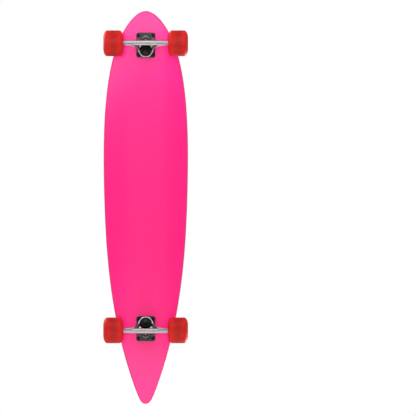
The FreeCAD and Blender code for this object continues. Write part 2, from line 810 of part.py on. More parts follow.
truck_pieces = {
    "baseplate": baseplate(),
    "pivot_cup": pivot_cup(),
    "kingpin": kingpin(),
    "kingpin_nut": kingpin_nut(),
    "boardside_bushing": boardside_bushing(),
    "roadside_bushing": roadside_bushing(),
    "boardside_washer": boardside_washer(),
    "roadside_washer": roadside_washer(),
    "mounting_bolts": mounting_bolts(),
    "mounting_nuts": mounting_nuts(),
    "hanger": hanger(),
    "axle": axle(),
    "bearing_inner_rings": bearing_inner_rings(),
    "bearing_spacers": bearing_spacers(),
    "speed_washers": speed_washers(),
    "axle_nuts": axle_nuts(),
}
wheel_pieces = {
    "wheel": wheel(),
    "bearing_outer_rings": bearing_outer_rings(),
    "bearing_ball_rings": bearing_ball_rings(),
    "bearing_shields": bearing_shields(),
}
for end, (plate_y, turn) in zip(("front", "rear"), truck_places()):
    for name, shape in truck_pieces.items():
        save(end + "_" + name, set_on_board(shape, plate_y, turn))
    axle_y = front_axle_y if end == "front" else rear_axle_y
    for hand, side in (("left", -1), ("right", 1)):
        for name, shape in wheel_pieces.items():
            placed = along_axle(shape, side * bearing_gap_middle)
            placed.translate(point(0, axle_y, wheel_radius))
            save(end + "_" + hand + "_" + name, placed)
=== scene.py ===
import json
import math
import bmesh
import bpy
import numpy as np
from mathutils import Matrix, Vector


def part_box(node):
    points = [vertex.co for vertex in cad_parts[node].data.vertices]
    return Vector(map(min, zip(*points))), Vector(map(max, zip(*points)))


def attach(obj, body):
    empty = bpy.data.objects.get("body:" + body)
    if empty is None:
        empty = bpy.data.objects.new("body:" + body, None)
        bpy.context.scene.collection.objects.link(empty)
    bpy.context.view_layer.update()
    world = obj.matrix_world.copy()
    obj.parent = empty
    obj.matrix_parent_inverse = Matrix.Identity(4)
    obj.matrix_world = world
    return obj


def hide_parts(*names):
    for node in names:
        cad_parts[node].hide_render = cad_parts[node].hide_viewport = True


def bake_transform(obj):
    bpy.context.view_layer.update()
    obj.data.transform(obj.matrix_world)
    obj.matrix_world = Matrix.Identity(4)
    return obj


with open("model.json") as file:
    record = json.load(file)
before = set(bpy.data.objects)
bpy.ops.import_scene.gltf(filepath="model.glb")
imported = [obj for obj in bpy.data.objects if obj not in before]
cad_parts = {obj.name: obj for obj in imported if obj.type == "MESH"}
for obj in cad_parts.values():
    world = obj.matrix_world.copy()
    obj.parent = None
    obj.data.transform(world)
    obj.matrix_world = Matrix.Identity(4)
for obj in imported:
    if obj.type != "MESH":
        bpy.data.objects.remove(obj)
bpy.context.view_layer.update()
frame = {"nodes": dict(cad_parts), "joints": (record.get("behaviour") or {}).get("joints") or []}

nodes = frame["nodes"]
joints = {joint["name"]: joint for joint in frame["joints"]}
mm = 0.001
ends = ("front", "rear")
hands = {"left": (-1, 0, 0), "right": (1, 0, 0)}  # with the way outwards
weldDistance = 1e-7  # metres; points closer than this are one
print("frame loaded:", len(nodes), "nodes")

# sockets of a Mix node for colours: share, first and second colour in, and the result out
mixShare, mixFirst, mixSecond, mixResult = 0, 6, 7, 2


# sRGB hex to the linear colour that shaders take
def linearColour(code):
    parts = np.array([int(code[first:first + 2], 16) for first in (1, 3, 5)]) / 255
    parts = np.where(parts <= 0.04045, parts / 12.92, ((parts + 0.055) / 1.055) ** 2.4)
    return (*parts.tolist(), 1.0)


# adds a node, or takes one that is there, sets its options, and fills or links its sockets by name or number
def addNode(tree, kind, options=None, sockets=None):
    node = tree.nodes.new(kind) if isinstance(kind, str) else kind
    for name, value in (options or {}).items():
        setattr(node, name, value)
    for name, value in (sockets or {}).items():
        if isinstance(value, bpy.types.NodeSocket):
            tree.links.new(value, node.inputs[name])
        else:
            node.inputs[name].default_value = value
    return node


def newMaterial(name):
    material = bpy.data.materials.new(name)
    material.use_nodes = True
    tree = material.node_tree
    place = addNode(tree, "ShaderNodeTexCoord").outputs["Object"]
    return material, tree, tree.nodes["Principled BSDF"], place


# each of the next five adds one node and gives its output
def noise(tree, place, size, detail):
    return addNode(tree, "ShaderNodeTexNoise", {}, {
        "Vector": place, "Scale": 1 / size, "Detail": detail}).outputs["Fac"]


def remap(tree, value, fromMin=0.0, fromMax=1.0, toMin=0.0, toMax=1.0, kind="LINEAR"):
    return addNode(tree, "ShaderNodeMapRange", {"interpolation_type": kind}, {
        "Value": value, "From Min": fromMin, "From Max": fromMax,
        "To Min": toMin, "To Max": toMax}).outputs[0]


def calculate(tree, operation, *values):
    return addNode(tree, "ShaderNodeMath", {"operation": operation}, dict(enumerate(values))).outputs[0]


def mixColours(tree, share, first, second):
    return addNode(tree, "ShaderNodeMix", {"data_type": "RGBA"}, {
        mixShare: share, mixFirst: first, mixSecond: second}).outputs[mixResult]


def bumpMap(tree, height, depth, strength):
    return addNode(tree, "ShaderNodeBump", {}, {
        "Height": height, "Distance": depth, "Strength": strength}).outputs[0]


pinkPaint = {
    "tones": ("#F20F74", "#F51B80"), "endSheenTone": "#F91E8E", "rimShadeTone": "#DA0A66", "plyTone": "#C20858",
    "filedTone": "#0B0D0C", "cloudSize": 170 * mm, "peelSize": 2.4 * mm, "peelDepth": 0.2 * mm,
    "plies": 7, "plyDepth": 0.15 * mm, "roughRange": (0.42, 0.5),
    # along the board in metres: where the painted sheen of the end tone begins, where it is full, and its
    # share there
    "noseSheenFade": (0.12, 0.5, 1.0), "tailSheenFade": (-0.18, -0.6, 0.6),
    # up the edge in shares of the thickness: a ply line's width, the height where the rim tone's painted
    # shade is full, and the filed edge
    "plyLine": 0.02, "rimShadeHeight": 0.12, "filedFrom": 0.92, "filedFull": 0.95,
}


def satinPinkPaint():
    # sprayed polyurethane paint under a satin clear coat: saturated colour, broad sheen, slight orange peel
    look = pinkPaint
    first, second = [linearColour(code) for code in look["tones"]]
    material, tree, shader, place = newMaterial("satin pink paint on plywood")
    tone = mixColours(tree, noise(tree, place, look["cloudSize"], detail=2.0), first, second)
    # painted sheen: the paint is lighter and cooler at the nose, a little so at the tail; painted shade:
    # deeper round the edge
    along = addNode(tree, "ShaderNodeSeparateXYZ", {}, {0: place}).outputs["Y"]
    sheenFades = [remap(tree, along, begin, full, 0.0, most, "SMOOTHSTEP")
             for begin, full, most in (look["noseSheenFade"], look["tailSheenFade"])]
    # outward: share of the painted sheen towards the nose and the tail
    outward = calculate(tree, "ADD", *sheenFades)
    ply = addNode(tree, "ShaderNodeAttribute", {"attribute_name": "plyHeight"}).outputs["Fac"]
    # rim: share of the painted shade up the side edge
    rim = remap(tree, ply, fromMax=look["rimShadeHeight"])
    for share, code in ((outward, look["endSheenTone"]), (rim, look["rimShadeTone"])):
        tone = mixColours(tree, share, tone, linearColour(code))
    # the plies telegraph through the paint along the edge
    halfPly = 1 / (2 * look["plies"])
    wave = calculate(tree, "PINGPONG", calculate(tree, "ADD", ply, halfPly), halfPly)
    line = remap(tree, wave, fromMax=look["plyLine"])
    edged = mixColours(tree, line, linearColour(look["plyTone"]), tone)
    # the upper edge is filed with the tape and left black
    filed = remap(tree, ply, look["filedFrom"], look["filedFull"])
    edged = mixColours(tree, filed, edged, linearColour(look["filedTone"]))
    # real orange peel is finer; this is coarse enough to show
    peel = noise(tree, place, look["peelSize"], detail=1.0)
    peelBump = bumpMap(tree, peel, look["peelDepth"], strength=0.05)
    plyBump = addNode(tree, "ShaderNodeBump", {}, {
        "Height": line, "Strength": 0.4, "Distance": look["plyDepth"], "Normal": peelBump})
    rough = remap(tree, peel, 0.0, 1.0, *look["roughRange"])
    addNode(tree, shader, {}, {
        "Base Color": edged, "Roughness": rough, "Normal": plyBump.outputs[0],
        "Specular IOR Level": 0.12, "Coat Weight": 1.0, "Coat Roughness": 0.22})
    return material


gritTape = {
    "darks": ("#020403", "#0D1312"), "paintedGlintTone": "#28322F", "patchSize": 9 * mm, "gritHeight": 0.35 * mm,
    # real grains are 0.2 mm; these are coarser so that they show
    "grainSize": 0.9 * mm, "fineSize": 0.8 * mm, "paintedGlintFrom": 0.6, "mottleRange": (0.34, 0.66),
}


def gripGrit():
    # silicon carbide grit in black resin: matt, slightly green black, with painted glints on the grains
    look = gritTape
    first, second = [linearColour(code) for code in look["darks"]]
    material, tree, shader, place = newMaterial("black grit tape")
    grain = addNode(tree, "ShaderNodeTexVoronoi", {}, {"Vector": place, "Scale": 1 / look["grainSize"]})
    glint = addNode(tree, "ShaderNodeSeparateColor", {}, {0: grain.outputs["Color"]})
    # painted glints: the grains with the highest random value take a paler tone
    paintedGlint = remap(tree, glint.outputs[0], look["paintedGlintFrom"])
    patch = noise(tree, place, look["patchSize"], detail=6.0)
    dark = mixColours(tree, remap(tree, patch, *look["mottleRange"]), first, second)
    tone = mixColours(tree, paintedGlint, dark, linearColour(look["paintedGlintTone"]))
    fine = noise(tree, place, look["fineSize"], detail=3.0)
    height = calculate(tree, "ADD", glint.outputs[1], fine)
    bump = bumpMap(tree, height, look["gritHeight"], strength=0.8)
    addNode(tree, shader, {}, {
        "Base Color": tone, "Roughness": 0.85, "Normal": bump, "Specular IOR Level": 0.08})
    return material


wheelResin = {
    "bodies": ("#BA0B08", "#C81812"), "coreShadeTone": "#5A0806", "scuffTone": "#DC4640", "paintedGlowTone": "#DE1C0A",
    "cloudSize": 11 * mm, "lineDepth": 0.15 * mm, "roughRange": (0.4, 0.52),
    "scatterDepth": 7 * mm, "scatterReach": (1.0, 0.14, 0.1),
}


def redUrethane():
    # cast translucent urethane: deep red that lets light in, with painted shade where the steel inside would
    # show through
    look = wheelResin
    first, second = [linearColour(code) for code in look["bodies"]]
    material, tree, shader, place = newMaterial("translucent red urethane")
    core, paintedGlow, lines = [addNode(tree, "ShaderNodeAttribute", {"attribute_name": name}).outputs["Fac"]
                         for name in ("coreShade", "paintedThinGlow", "turnedLines")]
    cloud = noise(tree, place, look["cloudSize"], detail=4.0)
    tone = mixColours(tree, cloud, first, second)
    # paler streaks run round the tread where the mould and the road have scuffed it
    scuff = calculate(tree, "MULTIPLY", lines, cloud)
    # painted shade over the core and hub, real scuffs, and painted glow in the thin edges
    for share, code in ((core, look["coreShadeTone"]), (scuff, look["scuffTone"]), (paintedGlow, look["paintedGlowTone"])):
        tone = mixColours(tree, share, tone, linearColour(code))
    bump = bumpMap(tree, lines, look["lineDepth"], strength=0.3)
    rough = remap(tree, cloud, 0.0, 1.0, *look["roughRange"])
    addNode(tree, shader, {}, {
        "Base Color": tone, "Roughness": rough, "Normal": bump, "Specular IOR Level": 0.2,
        "Subsurface Weight": 0.7, "Subsurface Radius": look["scatterReach"],
        "Subsurface Scale": look["scatterDepth"]})
    return material


castMetal = {
    # heights where the painted highlight begins and is full, the lowest parts, farthest from the deck, being
    # brightest; then the reach and range of occlusion for the painted shade in the hollows
    "highlightFrom": 86 * mm, "highlightFull": 70 * mm, "hollowReach": 8 * mm, "unshadedRange": (0.25, 0.72),
    "smearSize": 9 * mm, "smearRange": (0.3, 0.7),
    # real pits are finer; these are coarse enough to show
    "pitSize": 1.2 * mm, "pitDepth": 0.15 * mm,
}


def castAluminium(name, tones, roughRange, pitting, leastClean):
    # tumbled aluminium casting: fine pits, satin lustre, a painted highlight on the lowest parts, painted
    # shade in the hollows and dark smears at random
    look = castMetal
    pale, bright, dark = [linearColour(code) for code in tones]
    material, tree, shader, place = newMaterial(name)
    level = addNode(tree, "ShaderNodeSeparateXYZ", {}, {0: place}).outputs["Z"]
    # painted highlight: the lower a point, the more it takes the bright tone
    paintedHighlight = remap(tree, level, look["highlightFrom"], look["highlightFull"])
    highlightedSkin = mixColours(tree, paintedHighlight, pale, bright)
    # painted shade: the dark tone fills the hollows by occlusion, and random smears of it lie anywhere
    hollow = addNode(tree, "ShaderNodeAmbientOcclusion", {"samples": 8}, {"Distance": look["hollowReach"]})
    unshaded = remap(tree, hollow.outputs["AO"], *look["unshadedRange"])
    smears = noise(tree, place, look["smearSize"], detail=4.0)
    streak = remap(tree, smears, *look["smearRange"], leastClean)
    tone = mixColours(tree, calculate(tree, "MULTIPLY", unshaded, streak), dark, highlightedSkin)
    pits = noise(tree, place, look["pitSize"], detail=4.0)
    rough = remap(tree, smears, *look["smearRange"], *roughRange)
    bump = bumpMap(tree, pits, look["pitDepth"], strength=pitting)
    addNode(tree, shader, {}, {"Base Color": tone, "Metallic": 1.0, "Roughness": rough, "Normal": bump})
    return material


wearDepth = 0.08 * mm


def plainSteel(name, tones, roughRange, grainSize):
    # turned or plated steel: even colour with fine wear and smears in its gloss
    first, second = [linearColour(code) for code in tones]
    material, tree, shader, place = newMaterial(name)
    wear = noise(tree, place, grainSize * mm, detail=5.0)
    tone = mixColours(tree, wear, first, second)
    rough = remap(tree, wear, 0.0, 1.0, *roughRange)
    bump = bumpMap(tree, wear, wearDepth, strength=0.08)
    addNode(tree, shader, {}, {"Base Color": tone, "Metallic": 1.0, "Roughness": rough, "Normal": bump})
    return material


# real dust is finer; this is coarse enough to show
mouldedBlack = {
    "dustSize": 2.2 * mm, "dustDepth": 0.15 * mm, "fleckRange": (0.55, 0.8), "roughSpread": 0.06,
}


def blackRubber(name, tones, rough):
    # moulded polyurethane or nylon: near black, satin, with pale dust flecks
    look = mouldedBlack
    first, second = [linearColour(code) for code in tones]
    material, tree, shader, place = newMaterial(name)
    dust = noise(tree, place, look["dustSize"], detail=5.0)
    tone = mixColours(tree, remap(tree, dust, *look["fleckRange"]), first, second)
    gloss = remap(tree, dust, 0.0, 1.0, rough - look["roughSpread"], rough + look["roughSpread"])
    bump = bumpMap(tree, dust, look["dustDepth"], strength=0.15)
    addNode(tree, shader, {}, {
        "Base Color": tone, "Roughness": gloss, "Normal": bump, "Specular IOR Level": 0.3})
    return material


# castings: tones of the skin, the painted highlight on the lowest parts and the painted shade in the
# hollows, roughness, pitting, least clean share;
# steels: two tones, roughness, grain in mm; rubber and nylon: two tones, roughness
finishes = {
    "deck": satinPinkPaint(),
    "grip": gripGrit(),
    "wheel": redUrethane(),
    "hanger": castAluminium("polished aluminium casting", ("#B4B5B5", "#C6C7C6", "#585A5C"),
                            (0.26, 0.4), 0.2, 0.82),
    "plate": castAluminium("tumbled aluminium casting", ("#646668", "#ECEDED", "#0E0F10"),
                           (0.36, 0.54), 0.45, 0.4),
    "fastener": plainSteel("black oxide steel", ("#232526", "#3E4041"), (0.32, 0.46), 1.6),
    "rimHighlightHead": plainSteel("black oxide steel with painted rim highlight", ("#868482", "#A29F9C"), (0.36, 0.5), 1.6),
    "washer": plainSteel("dark plated steel", ("#141516", "#2A2B2C"), (0.36, 0.5), 3.0),
    "axle": plainSteel("zinc plated steel", ("#A9ABAC", "#C4C5C4"), (0.24, 0.36), 2.0),
    "bearing": plainSteel("ground bearing steel", ("#B8B9BA", "#CFCFCE"), (0.14, 0.24), 4.0),
    "shield": plainSteel("pressed steel shield", ("#86888A", "#A2A3A4"), (0.24, 0.34), 3.0),
    "bushing": blackRubber("black urethane bushing", ("#060607", "#202122"), 0.46),
    "cup": blackRubber("black nylon cup", ("#0A0A0B", "#1C1D1E"), 0.5),
    "nylon": blackRubber("black nylon insert", ("#0C0D0E", "#222324"), 0.45),
}
print("materials made:", len(finishes))


# joins grids of points, each closed round its first direction, into one mesh; loop closes the second too,
# and rowFinish gives some rows another material
def gridObject(name, grids, finish, loop=False, rowFinish=None):
    points, faces, rows, start = [], [], [], 0
    for grid in grids:
        count, depth = grid.shape[:2]
        index = np.arange(count * depth).reshape(count, depth) + start
        nextAround = np.roll(index, -1, axis=0)
        last = depth if loop else depth - 1
        low, lowNext = index[:, :last], nextAround[:, :last]
        high, highNext = np.roll(index, -1, 1)[:, :last], np.roll(nextAround, -1, 1)[:, :last]
        faces.append(np.stack([low, lowNext, highNext, high], -1).reshape(-1, 4))
        rows.append(np.tile(np.arange(last), count))
        points.append(grid.reshape(-1, 3))
        start += count * depth
    faces, rows = np.concatenate(faces), np.concatenate(rows)
    mesh = bpy.data.meshes.new(name)
    mesh.from_pydata(np.concatenate(points).tolist(), [], faces.tolist())
    mesh.materials.append(finish)
    if rowFinish:
        material, (first, end) = rowFinish
        mesh.materials.append(material)
        mesh.polygons.foreach_set("material_index", ((rows >= first) & (rows < end)).astype(np.int32))
    thing = bpy.data.objects.new(name, mesh)
    bpy.context.scene.collection.objects.link(thing)
    return thing


def setAttribute(thing, name, values):
    layer = thing.data.attributes.new(name, "FLOAT", "POINT")
    layer.data.foreach_set("value", np.ascontiguousarray(values, np.float32).reshape(-1))


# closes poles and seams, turns faces outwards, shades smooth between sharp edges and ties the piece to the
# frame; a piece without a body has been blended across a joint
def finishPiece(thing, sharpDegrees, replaced, body=None):
    shell = bmesh.new()
    shell.from_mesh(thing.data)
    bmesh.ops.remove_doubles(shell, verts=shell.verts, dist=weldDistance)
    bmesh.ops.recalc_face_normals(shell, faces=shell.faces)
    shell.to_mesh(thing.data)
    shell.free()
    thing.data.polygons.foreach_set("use_smooth", np.ones(len(thing.data.polygons), bool))
    thing.data.set_sharp_from_angle(angle=math.radians(sharpDegrees))
    if body:
        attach(thing, body)
    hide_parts(replaced)


# carries profile rows of (height, radius) in mm round an axis: a point is centre + height * axis
# + radius * spoke; radiusFor and liftFor may change the radius and height with the angle
def turned(profile, count, centre, axis, radiusFor=None, liftFor=None):
    axis = np.array(Vector(axis).normalized())
    # the first spoke is square to the axis and to up, or to +Y where the axis itself stands up
    upright = abs(axis[2]) >= 0.97
    side = np.cross(axis, (0.0, 1.0, 0.0) if upright else (0.0, 0.0, 1.0))
    side = side / np.linalg.norm(side)
    other = np.cross(axis, side)
    profile = np.asarray(profile, float)
    angle = np.linspace(0, 2 * math.pi, count, endpoint=False)[:, None]
    height = np.broadcast_to(profile[:, 0], (count, len(profile)))
    radius = np.broadcast_to(profile[:, 1], (count, len(profile)))
    if radiusFor:
        radius = radiusFor(angle, height, radius)
    if liftFor:
        height = height + liftFor(angle, height, radius)
    spokes = np.cos(angle)[..., None] * side + np.sin(angle)[..., None] * other
    return np.array(centre) + height[..., None] * axis * mm + radius[..., None] * spokes * mm


# points of an arc in the (height, radius) plane, between two angles in degrees
def arcRows(centre, radius, first, last, count):
    turn = np.radians(np.linspace(first, last, count))
    return np.stack([centre[0] + radius * np.cos(turn), centre[1] + radius * np.sin(turn)], -1)


deckShape = {
    "length": 1067.0, "width": 229.0, "thickness": 11.5, "flat": 32.0, "concave": 500.0,
    "noseRadius": 280.0, "tailRadius": 1400.0, "flatMargin": 2.0, "lowerEdge": 4.0, "upperEdge": 1.5,
    # the faces close on a spine along the middle; heart is a point well inside the outline
    "spineNose": 455.0, "spineTail": -490.0, "heart": (0, 20), "sharp": 60,
    "stations": 260, "faceRows": 36, "turnRows": 9, "edgeRows": 25,
    # control points of one side: shares of the length from the nose, and of the width from the middle
    "poles": [(0, 0), (0, .077), (.032, .240), (.115, .410), (.260, .503), (.450, .502),
              (.640, .463), (.800, .351), (.915, .204), (.982, .092), (1, .047), (1, 0)],
}
deckShape["underside"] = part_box("deck")[0].z / mm
deckShape["noseBend"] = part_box("front_baseplate")[1].y / mm + deckShape["flatMargin"]
deckShape["tailBend"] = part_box("rear_baseplate")[0].y / mm - deckShape["flatMargin"]


# smooth curve near its control points: each point is the sum of the poles, weighted by the basis of a
# clamped cubic spline
def splineSide(poles, count):
    poles = np.array(poles, float)
    knots = np.concatenate([np.zeros(3), np.linspace(0, 1, len(poles) - 2), np.ones(3)])
    place = np.linspace(0, 1, count) * (1 - 1e-9)  # stays inside the last knot span
    basis = ((knots[:-1, None] <= place) & (place < knots[1:, None])).astype(float)
    for degree in (1, 2, 3):
        rows = len(knots) - degree - 1
        low, high = knots[:rows], knots[degree:degree + rows]
        nextLow, nextHigh = knots[1:rows + 1], knots[degree + 1:degree + 1 + rows]
        rise = (place - low[:, None]) / np.where(high > low, high - low, 1)[:, None]
        fall = (nextHigh[:, None] - place) / np.where(nextHigh > nextLow, nextHigh - nextLow, 1)[:, None]
        basis = rise * basis[:rows] + fall * basis[1:rows + 1]
    return basis.T @ poles


# height of a layer over the plan: flat strip, circular rails, and a nose and tail bent about a level axis;
# each bend lifts by its radius less the root of radius squared minus distance squared
def layerHeight(x, y, layer):
    shape = deckShape
    rail = np.maximum(np.abs(x) - shape["flat"], 0)
    lift = shape["concave"] - np.sqrt((shape["concave"] - layer) ** 2 - rail ** 2)
    for radius, past in ((shape["noseRadius"], np.maximum(y - shape["noseBend"], 0)),
                         (shape["tailRadius"], np.maximum(shape["tailBend"] - y, 0))):
        lift = radius - np.sqrt((radius - lift) ** 2 - past ** 2)
    return shape["underside"] + lift


# pressed board: round the outline, and from the middle of the underside over the edge to that of the top
def deckPiece():
    shape = deckShape
    shares = splineSide(shape["poles"], shape["stations"])
    half = np.stack([shares[:, 1] * shape["width"], shape["length"] * (0.5 - shares[:, 0])], -1)
    outline = np.concatenate([half, (half * (-1, 1))[-2:0:-1]])
    run = np.roll(outline, -1, 0) - np.roll(outline, 1, 0)
    out = np.stack([-run[:, 1], run[:, 0]], -1) / np.linalg.norm(run, axis=1)[:, None]
    out *= np.sign(np.sum(out * (outline - shape["heart"]), 1))[:, None]
    spineY = np.clip(outline[:, 1], shape["spineTail"], shape["spineNose"])
    spine = np.stack([np.zeros(len(outline)), spineY], -1)
    low, high, thick = shape["lowerEdge"], shape["upperEdge"], shape["thickness"]
    turn = np.radians(np.linspace(0, 90, shape["turnRows"]))[1:-1]
    inward = np.linspace(1, 0, shape["faceRows"])
    # rows: inset from the outline, share of the way to the spine, share of the thickness, rise, ply height
    rows = [(low, towards, 0, 0, 0) for towards in inward]
    for angle in turn:
        rise = low * (1 - math.cos(angle))
        rows.append((low * (1 - math.sin(angle)), 0, 0, rise, rise / thick))
    levels = np.linspace(low / thick, 1 - high / thick, shape["edgeRows"])
    rows += [(0, 0, level, 0, level) for level in levels]
    for angle in turn[::2]:
        fall = high * (1 - math.sin(angle))
        rows.append((high * (1 - math.cos(angle)), 0, 1, -fall, 1 - fall / thick))
    # the tape covers the top, so a third of the rows will do there
    rows += [(high, 1 - towards, 1, 0, 1) for towards in inward[::3]] + [(high, 1, 1, 0, 1)]
    inset, towards, share, rise, ply = np.array(rows, float).T
    plan = outline[:, None] - inset[None, :, None] * out[:, None]
    plan = plan + (spine[:, None] - plan) * towards[None, :, None]
    bottom = layerHeight(plan[..., 0], plan[..., 1], 0)
    top = layerHeight(plan[..., 0], plan[..., 1], thick)
    height = bottom + (top - bottom) * share + rise
    grid = np.concatenate([plan, height[..., None]], -1) * mm
    thing = gridObject("pressed_deck", [grid], finishes["deck"])
    setAttribute(thing, "plyHeight", np.broadcast_to(ply, height.shape))
    finishPiece(thing, shape["sharp"], "deck", "board")


deckPiece()
print("deck shaped")

wheelShape = {
    "halfTread": 19.5, "treadRound": 4.0, "lip": 17.0, "bow": 1.7, "lipRound": 0.75, "lipTurn": (40, -60),
    "hub": 13.0, "hubFlare": 0.1, "hubStep": 0.8, "seat": 12.0, "seatChamfer": 1.2, "seatRadius": 11.02,
    "core": 8.6, "halfCore": 5.0, "coreMiddle": 0.4, "flatGap": 0.2, "wallGap": 0.3, "sharp": 50,
    "segments": 160, "wallRows": 41, "cornerRows": 12, "lipRows": 8, "coneRows": 10,
    # radius where the tread's look begins, and how far it takes to be full
    "treadFrom": 27.0, "treadFade": 6.0,
    # painted shade in a band over the core: strength and half width; painted shade over the hub: strength,
    # radius from and over
    "coreShade": 0.45, "coreSpread": 11.5, "hubShade": 0.6, "hubFrom": 16.0, "hubFade": 4.0,
    # painted light in the thin edges: from and over along the axle, from and over in radius, and strengths
    "thinFrom": 18.5, "thinFade": 5.0, "rimFrom": 15.0, "rimFade": 4.0, "paintedGlowInner": 1.0, "paintedGlowOuter": 0.4,
    # real mould lines are finer; these are spaced so that they show
    "lineSpacing": (4.8, 3.1), "lineStrength": 0.4,
}


# half of the wheel's section, from the middle of the tread round to the middle of the core; the wall is a
# straight line from tread to lip, bowed out by a parabola
def wheelSide(radius, halfWidth):
    shape = wheelShape
    tread, lip = np.array([shape["halfTread"], radius]), np.array([halfWidth, shape["lip"]])
    chord = lip - tread
    normal = np.array([-chord[1], chord[0]]) / np.linalg.norm(chord)
    share = np.linspace(0, 1, shape["wallRows"])[:, None]
    wall = tread + chord * share + normal * 4 * shape["bow"] * share * (1 - share)
    across = np.linspace(0, shape["halfTread"], shape["wallRows"])
    flat = np.stack([across, np.full(len(across), radius)], -1)
    # the tread's corner becomes a curve from the tread to the wall, drawn towards the corner
    start = tread - (shape["treadRound"], 0)
    reach = np.linalg.norm(wall - tread, axis=1)
    end = wall[np.argmin(np.abs(reach - shape["treadRound"]))]
    bend = np.linspace(0, 1, shape["cornerRows"])[:, None]
    corner = start * (1 - bend) ** 2 + tread * 2 * bend * (1 - bend) + end * bend ** 2
    flat = flat[flat[:, 0] < start[0] - shape["flatGap"]]
    wall = wall[reach > shape["treadRound"] + shape["wallGap"]][:-2]
    lipCentre = (halfWidth - shape["lipRound"], shape["lip"] - shape["lipRound"])
    lipArc = arcRows(lipCentre, shape["lipRound"], *shape["lipTurn"], shape["lipRows"])
    seat, hub = shape["seat"], shape["hub"]
    hollow = np.array([(seat + shape["seatChamfer"], hub + shape["hubFlare"]),
                       (seat, hub - shape["hubStep"]), (seat, shape["seatRadius"]),
                       (shape["halfCore"], shape["seatRadius"]), (shape["halfCore"], shape["core"]),
                       (shape["coreMiddle"], shape["core"])])
    cone = np.linspace(lipArc[-1], hollow[0], shape["coneRows"])[1:-1]
    return np.concatenate([flat, corner, wall, lipArc, cone, hollow])


# the section and its mirror image turned about the axle, with attributes for its shading
def wheelPiece(end, hand):
    shape = wheelShape
    low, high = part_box(end + "_" + hand + "_wheel")
    radius, halfWidth = (high.z - low.z) / 2 / mm, (high.x - low.x) / 2 / mm
    side = wheelSide(radius, halfWidth)
    section = np.concatenate([side, (side * (-1, 1))[::-1]])[1:]
    grid = turned(section, shape["segments"], (low + high) / 2, hands[hand])
    thing = gridObject(end + "_" + hand + "_urethane_wheel", [grid], finishes["wheel"], loop=True)
    axial = np.broadcast_to(section[:, 0], grid.shape[:2])
    radial = np.broadcast_to(section[:, 1], grid.shape[:2])
    onTread = np.clip((radial - shape["treadFrom"]) / shape["treadFade"], 0, 1)
    # painted shade: a band over the core along the tread, and over the hub
    band = shape["coreShade"] * np.exp(-(axial / shape["coreSpread"]) ** 2) * onTread
    hub = shape["hubShade"] * np.clip((shape["hubFrom"] - radial) / shape["hubFade"], 0, 1)
    setAttribute(thing, "coreShade", band + hub)
    # painted light where light would shine through the thin edges, most on the side towards the board's
    # middle
    thin = np.clip((np.abs(axial) - shape["thinFrom"]) / shape["thinFade"], 0, 1)
    thin = thin * np.clip((radial - shape["rimFrom"]) / shape["rimFade"], 0, 1)
    setAttribute(thing, "paintedThinGlow", thin * np.where(axial < 0, shape["paintedGlowInner"], shape["paintedGlowOuter"]))
    # two sines of different spacing, added to lie between 0 and 1
    wave = 0.5 + sum(0.25 * np.sin(axial * 2 * math.pi / spacing) for spacing in shape["lineSpacing"])
    setAttribute(thing, "turnedLines", shape["lineStrength"] * wave * onTread)
    finishPiece(thing, shape["sharp"], end + "_" + hand + "_wheel", end + "_" + hand + "_roller")


for end in ends:
    for hand in hands:
        wheelPiece(end, hand)
print("wheels turned")

kingpinShape = {
    "lean": 20.0, "floor": 3.25, "bore": 5.15, "segments": 96, "washer": 1.5, "sharp": 35,
    "boardside": {"length": 15.0, "wide": 14.6, "waist": 13.2, "edge": 1.0, "rows": 15},
    "roadside": {"length": 11.0, "wide": 16.8, "step": 2.0, "tip": 12.4, "edge": 1.2, "foot": 0.3,
                 "rows": 12, "tipTurn": (70, 0)},
    "edgeRows": 5, "radius": 4.75, "headFlats": 14.2, "headHeight": 5.0, "headFaceShare": 0.46,
    "headChamfer": 0.6, "neckFillet": 0.4, "seatWall": 4.6, "tip": 2.4, "tipChamfer": 0.8,
    "tipShoulder": 0.1, "tipIn": 0.9, "pitch": 1.06, "threadDepth": 0.55, "threadBehind": 2.0,
    "nut": {"flats": 14.2, "height": 6.2, "collar": 6.4, "collarHeight": 2.0},
}


# a kingpin's middle, and its direction: down from the deck, leaning towards the middle of the board
def kingpinFrame(end):
    lean = math.radians(kingpinShape["lean"])
    inward = -1 if end == "front" else 1
    return Vector(joints[end + "_lean"]["pos_m"]), Vector((0, inward * math.sin(lean), -math.cos(lean)))


